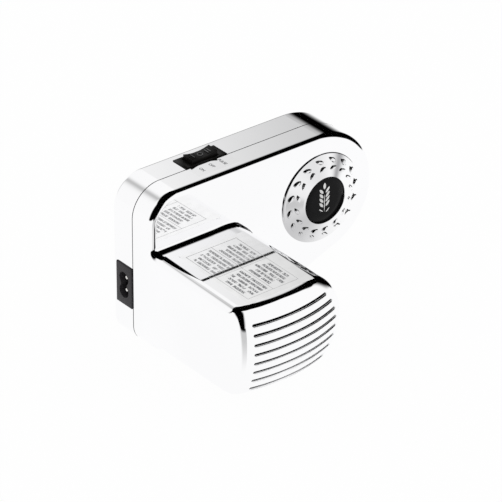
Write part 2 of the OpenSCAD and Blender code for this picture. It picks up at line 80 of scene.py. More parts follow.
HEIGHT, DEPTH = 106.5, 37.5  # of the side plate
SEAM_BACK, SEAM_FRONT = 19.25, 19.85  # the two shells part between these depths
WALL = 2.2
END_R, TOP_R, LOW_R, SLOPE_R = 41.5, 20.0, 13.5, 30.0  # corners of the side plate's outline
BASE_LEN = 75.0
REAR_R, PLATE_R, BOX_LEFT_R = 2.4, 4.0, 2.1  # edges: rear, front, and what the box's left edge adds to it
BOX_LOW, BOX_TOP, BOX_FRONT = 9.0, 70.6, 124.5  # the motor box
DRAFT = 0.028  # fall of the box top towards the front, per mm
SIDE_X, SIDE_Z, SIDE_R = 45.0, 36.0, 37.9  # the box's round right side
BOX_EDGE_R, BOX_LOW_R, CROWN_EDGE_R = 2.2, 3.0, 2.2
ROOT_R, ROOT_LOSS = 3.7, 2.1  # fillet at the box's root, and what it loses towards the round side
CROWN_X, CROWN_Z, CROWN_PLAN_R, CROWN_SIDE_R = 35.0, 39.0, 108.0, 75.0  # the domed front
SLOT_TOP, SLOT_PITCH, SLOT_GAP, SLOT_N = 56.75, 6.25, 1.0, 8
SLOT_LEFT, SLOT_ARC_R, SLOT_ARC_Z = 11.5, 31.8, 34.5
LIP = 0.9  # radius of the rolled lip round each slot
VOXEL = 1.15  # grain of the front shell's mesh before it is drawn onto its skin
BADGE_R, DISC_R = 29.7, 15.2

SLOPE = math.degrees(
    math.atan2(AXIS_Z, AXIS_X - BASE_LEN) - math.asin(END_R / math.hypot(AXIS_X - BASE_LEN, AXIS_Z))
)


def corners():
    """Rounded corners of the side plate: centre x, centre z, radius, first and last angle."""
    return [
        (LOW_R, LOW_R, LOW_R, 180.0, 270.0),
        (BASE_LEN - SLOPE_R * math.tan(math.radians(SLOPE / 2)), SLOPE_R, SLOPE_R, 270.0, 270.0 + SLOPE),
        (AXIS_X, AXIS_Z, END_R, SLOPE - 90.0, 90.0),
        (TOP_R, HEIGHT - TOP_R, TOP_R, 90.0, 180.0),
    ]


def on_corner(corner, angle, inset=0.0):
    x, z, r = corner[:3]
    a = math.radians(angle)
    return x + (r - inset) * math.cos(a), z + (r - inset) * math.sin(a)


# ---------------------------------------------------------------- distance to each skin
# Each takes an n x 3 array of places in millimetres and gives n distances, positive outside.


def join_round(a, b, r):
    """Both solids together, with a concave fillet where they meet."""
    u, v = np.maximum(r - a, 0), np.maximum(r - b, 0)
    return np.maximum(r, np.minimum(a, b)) - np.hypot(u, v)


def common_round(a, b, r):
    """What both solids share, with a rounded edge where they cross."""
    u, v = np.maximum(r + a, 0), np.maximum(r + b, 0)
    return np.minimum(-r, np.maximum(a, b)) + np.hypot(u, v)


def plate_side(p):
    """Distance to the side plate's outline."""
    x, z = p[:, 0], p[:, 2]
    s = math.radians(SLOPE)
    d = np.maximum(np.maximum(z - HEIGHT, -x), -z)
    d = np.maximum(d, math.sin(s) * (x - AXIS_X) - math.cos(s) * (z - AXIS_Z) - END_R)
    for cx, cz, r, a0, a1 in corners():
        ang = (np.degrees(np.arctan2(z - cz, x - cx)) - a0) % 360
        d = np.where(ang <= a1 - a0, np.maximum(d, np.hypot(x - cx, z - cz) - r), d)
    return d


def smooth(v, low, high):
    t = np.clip((v - low) / (high - low), 0, 1)
    return t * t * (3 - 2 * t)


def box_top(y):
    """Height of the motor box's sloping top."""
    return BOX_TOP + DRAFT * (y + DEPTH)


def motor_box(p):
    """Distance to the motor box, run on past the left face."""
    x, y, z = p[:, 0], p[:, 1], p[:, 2]
    side = np.hypot(np.maximum(x - SIDE_X, 0), z - SIDE_Z) - SIDE_R
    d = common_round(z - box_top(y), side, BOX_EDGE_R)
    d = common_round(BOX_LOW - z, d, BOX_LOW_R)
    out = np.hypot(x - CROWN_X, y + BOX_FRONT - CROWN_PLAN_R)
    crown = np.hypot(out - CROWN_PLAN_R + CROWN_SIDE_R, z - CROWN_Z) - CROWN_SIDE_R
    return common_round(d, crown, CROWN_EDGE_R)


def front_skin(p):
    """Distance to the outside of the front shell."""
    y = p[:, 1]
    d = join_round(-DEPTH - y, motor_box(p), ROOT_R - ROOT_LOSS * smooth(p[:, 0], 60.0, 70.0))
    ahead = smooth(-y, DEPTH, 46.0)  # 0 on the side plate, 1 on the motor box
    side = plate_side(p) * (1 - ahead) - p[:, 0] * ahead
    low_left = ahead * (1 - smooth(p[:, 2], 20.0, 40.0)) * (1 - smooth(-y, 104.0, 116.0))
    return common_round(d, side, PLATE_R + BOX_LEFT_R * ahead - 3.0 * low_left)


def rear_skin(p):
    """Distance to the outside of the rear shell."""
    return common_round(plate_side(p), p[:, 1], REAR_R)


def slope_of(skin, p, h=0.01):
    """Unit normals of a skin at these places."""
    g = np.empty_like(p)
    for i in range(3):
        step = np.zeros(3)
        step[i] = h
        g[:, i] = (skin(p + step) - skin(p - step)) / (2 * h)
    return g / np.maximum(np.linalg.norm(g, axis=1, keepdims=True), 1e-9)


# ---------------------------------------------------------------- working by hand


def only(*objs):
    if bpy.context.object and bpy.context.object.mode != "OBJECT":
        bpy.ops.object.mode_set(mode="OBJECT")
    bpy.ops.object.select_all(action="DESELECT")
    for o in objs:
        o.select_set(True)
    bpy.context.view_layer.objects.active = objs[0]


def settle(obj, name=None):
    """Puts the object's place, turn and size into its mesh."""
    only(obj)
    bpy.ops.object.transform_apply(location=True, rotation=True, scale=True)
    if name:
        obj.name = obj.data.name = name
    return obj


def edit(obj):
    only(obj)
    bpy.ops.object.mode_set(mode="EDIT")


def done():
    bpy.ops.object.mode_set(mode="OBJECT")


def pick(obj, kind, test):
    """In edit mode, selects the faces, edges or vertices whose middle passes the test."""
    bpy.ops.mesh.select_mode(type=kind)
    bpy.ops.mesh.select_all(action="DESELECT")
    bpy.ops.object.mode_set(mode="OBJECT")
    me = obj.data
    if kind == "FACE":
        for f in me.polygons:
            f.select = test(f.center, f.normal)
    elif kind == "EDGE":
        for e in me.edges:
            a, b = me.vertices[e.vertices[0]].co, me.vertices[e.vertices[1]].co
            e.select = test((a + b) / 2, b - a)
    else:
        for v in me.vertices:
            v.select = test(v.co)
    bpy.ops.object.mode_set(mode="EDIT")


def modifier(obj, kind, **settings):
    only(obj)
    m = obj.modifiers.new(kind.lower(), kind)
    for k, v in settings.items():
        setattr(m, k, v)
    bpy.ops.object.modifier_apply(modifier=m.name)
    return obj


def cut(obj, *tools, solver="EXACT"):
    for tool in tools:
        modifier(obj, "BOOLEAN", object=tool, operation="DIFFERENCE", solver=solver)
        bpy.data.objects.remove(tool)
    return obj


def merge_into(obj, *others):
    only(obj, *others)
    bpy.ops.object.join()
    return obj


def soften(obj, angle=35):
    only(obj)
    bpy.ops.object.shade_smooth_by_angle(angle=math.radians(angle))
    return obj


def start_point(x, y, z, name):
    """A new mesh of one point, left in edit mode with the point selected."""
    bpy.ops.object.select_all(action="DESELECT")
    bpy.ops.mesh.primitive_plane_add(size=0.001)
    obj = bpy.context.object
    obj.location = at(x, y, z)
    settle(obj, name)
    edit(obj)
    bpy.ops.mesh.select_all(action="SELECT")
    bpy.ops.mesh.merge(type="CENTER")
    bpy.ops.mesh.select_mode(type="VERT")
    bpy.ops.mesh.select_all(action="SELECT")
    return obj


def run_to(x0, z0, x1, z1):
    bpy.ops.mesh.extrude_region_move(
        TRANSFORM_OT_translate={"value": ((x1 - x0) / 1000, 0, (z1 - z0) / 1000)}
    )


def outline_plate(name, y, inset=0.0, step=2.0):
    """The side plate's outline as one face at this depth, left in edit mode."""
    cs = corners()
    first = on_corner(cs[0], cs[0][3], inset)
    obj = start_point(first[0], y, first[1], name)
    here = first
    for c in cs:
        a, b = on_corner(c, c[3], inset), on_corner(c, c[4], inset)
        if math.dist(here, a) > 1e-6:
            run_to(*here, *a)
        bpy.ops.mesh.spin(
            steps=max(4, round((c[4] - c[3]) / step)),
            angle=math.radians(c[4] - c[3]),
            center=at(c[0], y, c[1]),
            axis=(0, 1, 0),
        )
        here = b
    run_to(*here, *first)
    bpy.ops.mesh.select_all(action="SELECT")
    bpy.ops.mesh.remove_doubles(threshold=1e-6)
    bpy.ops.mesh.edge_face_add()
    return obj


def box_piece(name, x0, x1, y0, y1, z0, z1):
    bpy.ops.object.select_all(action="DESELECT")
    bpy.ops.mesh.primitive_cube_add(size=1)
    obj = bpy.context.object
    obj.scale = (abs(x1 - x0) / 1000, abs(y1 - y0) / 1000, abs(z1 - z0) / 1000)
    obj.location = at((x0 + x1) / 2, (y0 + y1) / 2, (z0 + z1) / 2)
    return settle(obj, name)


def rod_piece(name, x, z, r, y0, y1, sides=64):
    bpy.ops.object.select_all(action="DESELECT")
    bpy.ops.mesh.primitive_cylinder_add(vertices=sides, radius=r / 1000, depth=abs(y1 - y0) / 1000)
    obj = bpy.context.object
    obj.rotation_euler = (math.pi / 2, 0, 0)
    obj.location = at(x, (y0 + y1) / 2, z)
    return settle(obj, name)


def bevel_edges(obj, test, width, segments):
    edit(obj)
    pick(obj, "EDGE", test)
    bpy.ops.mesh.bevel(offset=width / 1000, segments=segments, profile=0.5, affect="EDGES")
    done()
    return obj


def to_mm(obj):
    co = np.empty(len(obj.data.vertices) * 3)
    obj.data.vertices.foreach_get("co", co)
    return co.reshape(-1, 3) * 1000 + (AXIS_X, 0, AXIS_Z)


def from_mm(obj, p):
    obj.data.vertices.foreach_set("co", ((p - (AXIS_X, 0, AXIS_Z)) / 1000).ravel())
    obj.data.update()


def draw_onto(obj, skin, rounds=10):
    """Moves every point onto the skin along its slope."""
    p = to_mm(obj)
    for _ in range(rounds):
        p = p - 0.9 * skin(p)[:, None] * slope_of(skin, p)
    from_mm(obj, p)


def true_normals(obj, skin, reach=0.2):
    """Gives the faces that lie on the skin its exact normals, so that mirrors run evenly."""
    me = obj.data
    for f in me.polygons:
        f.use_smooth = True
    n_face, n_loop = len(me.polygons), len(me.loops)
    centre, normal = np.empty(n_face * 3), np.empty(n_face * 3)
    me.polygons.foreach_get("center", centre)
    me.polygons.foreach_get("normal", normal)
    centre = centre.reshape(-1, 3) * 1000 + (AXIS_X, 0, AXIS_Z)
    normal = normal.reshape(-1, 3)
    g = slope_of(skin, centre)
    on = (np.abs(skin(centre)) < reach) & ((g * normal).sum(1) > 0.85)
    total = np.empty(n_face, int)
    me.polygons.foreach_get("loop_total", total)
    vert = np.empty(n_loop, int)
    me.loops.foreach_get("vertex_index", vert)
    at_vert = slope_of(skin, to_mm(obj))
    face_of_loop = np.repeat(np.arange(n_face), total)
    out = np.where(on[face_of_loop][:, None], at_vert[vert], normal[face_of_loop])
    me.normals_split_custom_set(out.tolist())
    return obj


# ---------------------------------------------------------------- materials


class Value:
    """A node's output that takes part in Python arithmetic."""

    def __init__(self, finish, socket):
        self.finish, self.socket = finish, socket

    def __add__(self, other):
        return self.finish.maths("ADD", self, other)

    def __sub__(self, other):
        return self.finish.maths("SUBTRACT", self, other)

    def __rsub__(self, other):
        return self.finish.maths("SUBTRACT", other, self)

    def __mul__(self, other):
        return self.finish.maths("MULTIPLY", self, other)

    def __truediv__(self, other):
        return self.finish.maths("DIVIDE", self, other)

    __radd__, __rmul__ = __add__, __mul__


class Finish:
    """A material, or the world, built from nodes."""

    def __init__(self, holder):
        holder.use_nodes = True
        self.holder, self.tree = holder, holder.node_tree
        self.tree.nodes.clear()

    def node(self, kind, settings=None, *values, out=0, **named):
        n = self.tree.nodes.new(kind)
        for key, value in (settings or {}).items():
            if key == "stops":
                ramp = n.color_ramp
                while len(ramp.elements) < len(value):
                    ramp.elements.new(0.5)
                for stop, (place, colour) in zip(ramp.elements, value):
                    stop.position, stop.color = place, colour
            else:
                setattr(n, key, value)
        for i, v in list(enumerate(values)) + list(named.items()):
            self.join(v, n.inputs[i if isinstance(i, int) else i.replace("_", " ")])
        return Value(self, n.outputs[out])

    def join(self, value, socket):
        if isinstance(value, Value):
            self.tree.links.new(value.socket, socket)
        elif value is not None:
            socket.default_value = value

    def maths(self, operation, *values):
        return self.node("ShaderNodeMath", {"operation": operation}, *values)

    def place(self):
        return self.node("ShaderNodeTexCoord", out="Object")

    def split(self, vector):
        """The x, y and z of a vector."""
        parts = self.node("ShaderNodeSeparateXYZ", None, vector).socket.node
        return [Value(self, socket) for socket in parts.outputs]

    def noise(self, scale, detail=2.0, rough=0.5, vector=None):
        vector = vector or self.place()
        settings = {"Vector": vector, "Scale": scale, "Detail": detail, "Roughness": rough}
        return self.node("ShaderNodeTexNoise", None, **settings)

    def ramp(self, value, low, high, start=0.0, end=1.0):
        """Runs smoothly from start at low to end at high. low may be the larger one."""
        smoothly = {"interpolation_type": "SMOOTHSTEP"}
        return self.node("ShaderNodeMapRange", smoothly, value, low, high, start, end)

    def bell(self, *places):
        """A round bump of height 1 where every place is 0."""
        return self.maths("EXPONENT", sum(v * v for v in places) * -1)

    def colour(self, factor, a, b):
        mix = self.tree.nodes.new("ShaderNodeMix")
        mix.data_type = "RGBA"
        self.join(factor, mix.inputs[0])
        self.join(a, mix.inputs[6])
        self.join(b, mix.inputs[7])
        return Value(self, mix.outputs[2])

    def bump(self, height, distance, strength=1.0):
        return self.node("ShaderNodeBump", None, Height=height, Distance=distance, Strength=strength)

    def surface(self, **sockets):
        shader = self.node("ShaderNodeBsdfPrincipled", None, **sockets)
        self.output(shader)
        return self

    def output(self, shader):
        kind = "World" if isinstance(self.holder, bpy.types.World) else "Material"
        self.join(shader, self.tree.nodes.new("ShaderNodeOutput" + kind).inputs["Surface"])


def material(name):
    return Finish(bpy.data.materials.new(name))


def rgb(colour, scale=1.0):
    """A colour, or a grey given as one number, made brighter or darker by the scale."""
    channels = colour if isinstance(colour, tuple) else (colour,) * 3
    return (*(min(1, c * scale) for c in channels), 1.0)


DEGREES = 180 / math.pi
# Painted reflection on the badge's chrome: each sweep darkens its colour at an angle round the output
# axis.
PAINTED_SWEEPS = ((-145, 55, 0.42), (215, 55, 0.42), (60, 9, 0.6), (105, 26, 0.2))  # angle, width, depth


def painted_reflection_sweeps(m):
    """Painted reflection: grey sweeps round the output axis, put into the plating's colour in place of
    what a turned and plated cone mirrors.
    """
    x, _, z = m.split(m.place())
    turn = m.maths("ARCTAN2", z, x) * DEGREES
    sweep = 0.0
    for angle, width, depth in PAINTED_SWEEPS:
        sweep = sweep + m.bell((turn - angle) / width) * depth
    return sweep


def chrome(name="chrome plate", tint=(0.972, 0.972, 0.98), haze=0.035, shade=None):
    """Bright plating over moulded plastic: a faint drift of haze and a very slow swell, with painted
    reflections when a shade is given.
    """
    m = material(name)
    fine = m.noise(420, 4, 0.6)
    slow = m.noise(14, 2, 0.5)
    haze_map = m.ramp(fine * 0.4 + slow * 0.6, 0.35, 0.75, haze * 0.6, haze * 1.5)
    tone = m.colour(m.ramp(slow, 0.3, 0.7), rgb(tint, 0.985), rgb(tint))
    # A given shade mixes painted reflections into the plating's colour, towards a near-black grey.
    if shade:
        tone = m.colour(shade(m), tone, rgb((0.02, 0.018, 0.03)))
    swell = m.bump(m.noise(38, 1, 0.4), 0.000004)
    m.surface(Base_Color=tone, Metallic=1.0, Roughness=haze_map, Normal=swell)
    return m.holder


def moulded(name, colour, shine=0.45, grain=900, depth=0.00003, gleam=0.5):
    """Moulded plastic with spark-eroded grain and slightly uneven colour."""
    m = material(name)
    cells = m.noise(grain, 3, 0.6)
    drift = m.noise(30, 2, 0.5)
    tone = m.colour(m.ramp(drift, 0.3, 0.7), rgb(colour, 0.85), rgb(colour, 1.15))
    rough = m.ramp(cells * 0.5 + drift * 0.5, 0.3, 0.7, shine * 0.85, min(1.0, shine * 1.15))
    m.surface(Base_Color=tone, Roughness=rough, Specular_IOR_Level=gleam, Normal=m.bump(cells, depth))
    return m.holder


def steel(name, colour, rough, lines):
    """Cut, ground or drawn metal with fine lines across one direction."""
    m = material(name)
    stretch = m.node("ShaderNodeMapping", None, Vector=m.place(), Scale=lines)
    streak = m.noise(1.0, 3, 0.6, stretch)
    patch = m.noise(55, 3, 0.6)
    tone = m.colour(m.ramp(patch * 0.5 + streak * 0.5, 0.3, 0.7), rgb(colour, 0.82), rgb(colour))
    dull = m.ramp(streak, 0.3, 0.7, rough * 0.75, rough * 1.3)
    m.surface(Base_Color=tone, Metallic=1.0, Roughness=dull, Normal=m.bump(streak, 0.00002, 0.6))
    return m.holder


def dress(node, holder):
    """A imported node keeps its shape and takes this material."""
    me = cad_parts[node].data
    me.materials.clear()
    me.materials.append(holder)


def finish_piece(obj, holder, body, slot, *nodes):
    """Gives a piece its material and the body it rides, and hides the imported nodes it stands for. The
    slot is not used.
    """
    obj.data.materials.clear()
    obj.data.materials.append(holder)
    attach(obj, body)
    if nodes:
        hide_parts(*nodes)
    return obj


# ---------------------------------------------------------------- the two chromed shells


def stadium(name, x0, x1, y0, y1, z, h, segments=10):
    """A round-ended bar along X."""
    obj = box_piece(name, x0, x1, y0, y1, z - h / 2, z + h / 2)
    ends = lambda mid, run: abs(run.normalized().y) > 0.99
    return bevel_edges(obj, ends, h / 2 * 0.995, segments)


def slot_right(z):
    return SIDE_X + math.sqrt(SLOT_ARC_R**2 - (z - SLOT_ARC_Z) ** 2)


def build_slot_lips():
    """A rolled lip round each slot, lying in the domed front so that it runs smoothly into it."""
    lips = []
    r = SLOT_GAP / 2 + LIP
    for i in range(SLOT_N):
        z = SLOT_TOP - i * SLOT_PITCH
        x0, x1 = SLOT_LEFT - LIP + r, slot_right(z) + LIP - r
        along = np.linspace(x0, x1, 50)
        bend = np.radians(np.linspace(90, -90, 9)[1:-1])
        run = [(x, z + r) for x in along]
        run += [(x1 + r * math.cos(a), z + r * math.sin(a)) for a in bend]
        run += [(x, z - r) for x in along[::-1]]
        run += [(x0 - r * math.cos(a), z + r * math.sin(a)) for a in bend[::-1]]
        p = np.array([(x, -118.0, h) for x, h in run])
        for _ in range(15):
            p[:, 1] -= np.clip((front_skin(p) + LIP) / slope_of(front_skin, p)[:, 1], -2, 2)
        curve = bpy.data.curves.new("slot_lip", "CURVE")
        curve.dimensions, curve.bevel_depth, curve.bevel_resolution = "3D", LIP / 1000, 4
        line = curve.splines.new("POLY")
        line.points.add(len(p) - 1)
        co = np.column_stack([(p - (AXIS_X, 0, AXIS_Z)) / 1000, np.ones(len(p))])
        line.points.foreach_set("co", co.ravel())
        line.use_cyclic_u = True
        lip = bpy.data.objects.new("slot_lip", curve)
        bpy.context.scene.collection.objects.link(lip)
        only(lip)
        bpy.ops.object.convert(target="MESH")
        lips.append(bpy.context.object)
    lip = merge_into(*lips)
    only(lip)
    bpy.ops.object.shade_smooth()
    lip.name = lip.data.name = "slot_lips"
    return lip


def crease_box_edge(shell):
    """Cuts rows of points along the edge between the box top and its round side."""
    ends = []
    for y in (-DEPTH, -BOX_FRONT):
        z = box_top(y)
        ends.append(Vector((SIDE_X + math.sqrt(SIDE_R**2 - (z - SIDE_Z) ** 2), y, z)))
    along = (ends[1] - ends[0]).normalized()
    across = Vector((-along.y, along.x, 0)).normalized()
    start = at(52, -DEPTH - 5, 62)
    near_edge = lambda mid, n: mid.x > start.x and mid.y < start.y and mid.z > start.z
    edit(shell)
    for offset in (-0.9, -0.5, -0.1, 0.3):
        pick(shell, "FACE", near_edge)
        bpy.ops.mesh.bisect(plane_co=at(*(ends[0] + across * offset)), plane_no=across)
    done()


def build_front_shell():
    shell = outline_plate("front_shell", -(SEAM_FRONT - 6))
    bpy.ops.mesh.select_all(action="SELECT")
    forward = (0, -(DEPTH - SEAM_FRONT + 6) / 1000, 0)
    bpy.ops.mesh.extrude_region_move(TRANSFORM_OT_translate={"value": forward})
    bpy.ops.mesh.select_all(action="SELECT")
    bpy.ops.mesh.normals_make_consistent(inside=False)
    done()
    block = box_piece("box_start", 0, SIDE_X + 22, -30, -117, BOX_LOW, BOX_TOP)
    barrel = rod_piece("barrel_start", SIDE_X, SIDE_Z, SIDE_R, -30, -114, 96)
    edit(barrel)
    for height, way in ((BOX_TOP, 1), (BOX_LOW, -1)):
        bpy.ops.mesh.select_all(action="SELECT")
        plane = {"plane_co": at(0, 0, height), "plane_no": (0, 0, way)}
        bpy.ops.mesh.bisect(**plane, use_fill=True, clear_outer=True)
    done()
    merge_into(shell, block, barrel)
    modifier(shell, "REMESH", mode="VOXEL", voxel_size=VOXEL / 1000, adaptivity=0.0)
    edit(shell)
    bpy.ops.mesh.select_all(action="SELECT")
    bpy.ops.mesh.bisect(plane_co=at(0, -SEAM_FRONT, 0), plane_no=(0, 1, 0), clear_outer=True)
    done()
    for repeat in (6, 4, 3, 2):
        draw_onto(shell, front_skin)
        edit(shell)
        pick(shell, "VERT", lambda co: co.y * 1000 < -SEAM_FRONT - 0.3)
        bpy.ops.mesh.vertices_smooth(factor=0.5, repeat=repeat)
        done()
    crease_box_edge(shell)
    draw_onto(shell, front_skin)
    modifier(shell, "SOLIDIFY", thickness=WALL / 1000, offset=-1.0, use_rim=True)
    slots = []
    for i in range(SLOT_N):
        z = SLOT_TOP - i * SLOT_PITCH
        ends = SLOT_LEFT - LIP, slot_right(z) + LIP
        slots.append(stadium(f"slot_tool_{i}", *ends, -100, -130, z, SLOT_GAP + 2 * LIP))
    cut(shell, merge_into(*slots))
    true_normals(shell, front_skin)
    return shell


def build_rear_shell():
    shell = outline_plate("rear_shell", 0.0, step=1.5)
    bpy.ops.mesh.select_all(action="SELECT")
    bpy.ops.mesh.extrude_region_move(TRANSFORM_OT_translate={"value": (0, -SEAM_BACK / 1000, 0)})
    bpy.ops.mesh.select_all(action="SELECT")
    bpy.ops.mesh.normals_make_consistent(inside=False)
    pick(shell, "FACE", lambda mid, n: mid.y * 1000 < -SEAM_BACK + 0.1)
    bpy.ops.mesh.delete(type="ONLY_FACE")
    done()
    bevel_edges(shell, lambda mid, run: mid.y * 1000 > -0.1, REAR_R, 8)
    modifier(shell, "SOLIDIFY", thickness=WALL / 1000, offset=-1.0, use_rim=True, use_even_offset=True)
    tools = [
        box_piece("switch_tool", 42.2, 70.8, -6.6, -25, 100, 112),
        box_piece("inlet_tool", -3, 6, -3.8, -25, 24.9, 52.5),
        rod_piece("collar_tool", AXIS_X, AXIS_Z, 8, 3, -6),
    ]
    for x, z in screw_places():
        tools.append(rod_piece("screw_tool", x, z, 3.1, 3, -6, 32))
    cut(shell, *tools)
    true_normals(shell, rear_skin)
    return shell


def round_axis(r, angle):
    """The x and z of a place round the output axis."""
    a = math.radians(angle)
    return AXIS_X + r * math.cos(a), AXIS_Z + r * math.sin(a)


def screw_places():
    return [(12.5, 94), (10.5, 7.2), (84, 99.5), round_axis(34.5, 20), round_axis(34.5, -50)]


bright = chrome()
finish_piece(build_front_shell(), bright, "housing", "front_housing", "front_housing")
finish_piece(build_rear_shell(), bright, "housing", "rear_cover", "rear_cover")
finish_piece(build_slot_lips(), bright, "housing", "front_housing")

# ---------------------------------------------------------------- badge

RING_R, RING_LOW, RING_HIGH = 28.9, 1.0, 4.5  # where the cone starts, and its heights over the plate
CONE_R = 18.0  # where the cone reaches its full height
DISC_TOP = -DEPTH - 4.2
LEAF_FALL = 16  # tilt of the wreath's leaves with the cone, in degrees
WREATH_N, WREATH_START = 16, 4
WREATH_ROWS = ((25.3, 9.6, 4.3, 56), (20.7, 8.4, 3.9, 124))  # radius, length, width, lean


def turned(name, x, z, profile, steps=128):
    """A profile of (radius, depth) turned round an axis along Y."""
    r, y = profile[0]
    obj = start_point(x + r, y, z, name)
    for (r0, y0), (r1, y1) in zip(profile, profile[1:]):
        step = ((r1 - r0) / 1000, (y1 - y0) / 1000, 0)
        bpy.ops.mesh.extrude_region_move(TRANSFORM_OT_translate={"value": step})
    bpy.ops.mesh.select_all(action="SELECT")
    bpy.ops.mesh.spin(steps=steps, angle=2 * math.pi, center=at(x, y, z), axis=(0, 1, 0))
    bpy.ops.mesh.select_all(action="SELECT")
    bpy.ops.mesh.remove_doubles(threshold=1e-7)
    bpy.ops.mesh.normals_make_consistent(inside=False)
    done()
    return obj


def arc(cx, cy, r, a0, a1, n):
    turns = np.radians(np.linspace(a0, a1, n))
    return [(cx + r * math.cos(a), cy + r * math.sin(a)) for a in turns]


def leaf_start():
    """A leaf one metre long, wide and thick: two cones base to base, rounded off."""
    halves = []
    for turn, lift in ((0, 0.25), (math.pi, -0.25)):
        bpy.ops.object.select_all(action="DESELECT")
        bpy.ops.mesh.primitive_cone_add(
            vertices=12, radius1=0.5, radius2=0.0, depth=0.5, end_fill_type="NOTHING"
        )
        half = bpy.context.object
        half.rotation_euler = (turn, 0, 0)
        half.location = (0, 0, lift)
        halves.append(settle(half, "leaf_half"))
    leaf = merge_into(*halves)
    edit(leaf)
    bpy.ops.mesh.select_all(action="SELECT")
    bpy.ops.mesh.remove_doubles(threshold=1e-4)
    bpy.ops.mesh.normals_make_consistent(inside=False)
    done()
    modifier(leaf, "SUBSURF", levels=2)
    return leaf


def leaves(name, places):
    """Leaves given as x, depth, z, length, width, thickness and angle.

    A leaf on the badge's cone has one more angle, its place round the axis, and falls outwards there.
    """
    start = leaf_start()
    out = []
    for x, y, z, length, width, thick, angle, *fall in places:
        leaf = start.copy()
        leaf.data = start.data.copy()
        bpy.context.scene.collection.objects.link(leaf)
        leaf.location = at(x, y, z)
        leaf.rotation_euler = (0, math.radians(90 - angle), 0)
        leaf.scale = (width / 1000, thick / 1000, length / 1000)
        settle(leaf)
        if fall:
            a = math.radians(fall[0])
            tilt = Matrix.Rotation(math.radians(LEAF_FALL), 4, Vector((math.sin(a), 0, -math.cos(a))))
            middle = at(x, y, z)
            leaf.matrix_world = Matrix.Translation(middle) @ tilt @ Matrix.Translation(-middle)
            settle(leaf)
        out.append(leaf)
    bpy.data.objects.remove(start)
    obj = merge_into(*out)
    obj.name = obj.data.name = name
    bpy.ops.object.shade_smooth()
    return obj


def badge_height(r):
    """Height of the badge's conical ring over the plate."""
    return RING_LOW + (RING_HIGH - RING_LOW) * (RING_R - r) / (RING_R - CONE_R)


def build_badge_ring():
    face = -DEPTH
    ring = [(BADGE_R, face + 0.4)] + arc(BADGE_R - 0.7, face - 0.25, 0.7, 0, -70, 7)
    ring += [(r, face - badge_height(r)) for r in np.linspace(RING_R - 0.2, DISC_R + 0.9, 14)]
    ring += arc(DISC_R + 0.65, face - 4.6, 0.5, -90, -180, 6) + [(DISC_R + 0.15, face - 2.9)]
    wreath = []
    for i in range(WREATH_N):
        turn = i * 360 / WREATH_N + WREATH_START
        for r, length, width, lean in WREATH_ROWS:
            x, z = round_axis(r, turn)
            wreath.append((x, face - badge_height(r) + 0.1, z, length, width, 3.4, turn + lean, turn))
    body = soften(turned("badge_ring", AXIS_X, AXIS_Z, ring, 160), 50)
    body = merge_into(body, leaves("wreath", wreath))
    # The badge's chrome carries painted reflections: grey sweeps in its colour round the output axis.
    plating = chrome("badge chrome", haze=0.05, shade=painted_reflection_sweeps)
    finish_piece(body, plating, "housing", "badge_ring", "badge_ring")


def build_badge_disc():
    top = DISC_TOP
    disc = [(DISC_R, top + 1.3), (DISC_R, top + 0.35), (DISC_R - 0.35, top)]
    disc += [(10, top - 0.05), (5, top - 0.07), (0.001, top - 0.08)]
    enamel = moulded("black enamel", (0.007, 0.007, 0.0075), 0.25, 500, 0.000004, 0.06)
    body = soften(turned("badge_disc", AXIS_X, AXIS_Z, disc), 50)
    finish_piece(body, enamel, "housing", "badge_disc", "badge_disc")


def build_emblem():
    """An ear of wheat: a top grain, four pairs, a stem and two leaves."""
    y, thick = DISC_TOP - 0.08, 0.22
    ear = [(AXIS_X, y, AXIS_Z + 9.6, 6.4, 2.9, thick, 90)]
    for i in range(4):
        z = AXIS_Z - 2.9 + i * 3.1
        for side, angle in ((1, 50), (-1, 130)):
            ear.append((AXIS_X + side * 2.4, y, z, 6.6, 2.5, thick, angle))
    ear.append((AXIS_X, y, AXIS_Z - 2.2, 17.5, 0.9, thick, 90))
    ear.append((AXIS_X + 2.6, y, AXIS_Z - 7.6, 5.5, 1.1, thick, 40))
    ear.append((AXIS_X - 2.6, y, AXIS_Z - 6.6, 5.5, 1.1, thick, 140))
    white = moulded("white print", (0.80, 0.80, 0.79), 0.4, 1500, 0.000002)
    finish_piece(leaves("badge_emblem", ear), white, "housing", "badge_emblem", "badge_emblem")


build_badge_ring()
build_badge_disc()
build_emblem()

# ---------------------------------------------------------------- switch

SWITCH_X, PIVOT_Z = 56.0, 105.5
SWITCH_HOLE = (45.7, 66.7, -17.6, -7.8)  # opening in the frame, left, right, front and back
ROCKER = (46.6, 65.9, -17.0, -8.4)
ROCKER_H, DRUM_R = 7.0, 10.1
HOLLOW_R, HOLLOW_LIFT = 30.0, 33.05  # round the dip in the rocker's top, above the pivot


def ease(obj, width, segments=3, angle=30):
    """Rounds off every sharp edge a little."""
    limit = math.radians(angle)
    modifier(obj, "BEVEL", width=width / 1000, segments=segments, limit_method="ANGLE", angle_limit=limit)
    return soften(obj, 40)


def combine(obj, tool, operation):
    modifier(obj, "BOOLEAN", object=tool, operation=operation, solver="EXACT")
    bpy.data.objects.remove(tool)


def build_switch_frame(black):
    bezel = box_piece("switch_frame", 40.5, 71.5, -19.5, -6.2, HEIGHT, HEIGHT + 0.55)
    cut(bezel, box_piece("frame_tool", *SWITCH_HOLE, 100, 110))
    ease(bezel, 0.2, 2)
    shoulder = box_piece("frame_body", 42, 70, -18.9, -6.7, 92, HEIGHT + 0.1)
    cut(shoulder, box_piece("frame_tool", *SWITCH_HOLE, 94.5, 110))
    finish_piece(merge_into(bezel, shoulder), black, "housing", "switch_frame", "switch_frame")


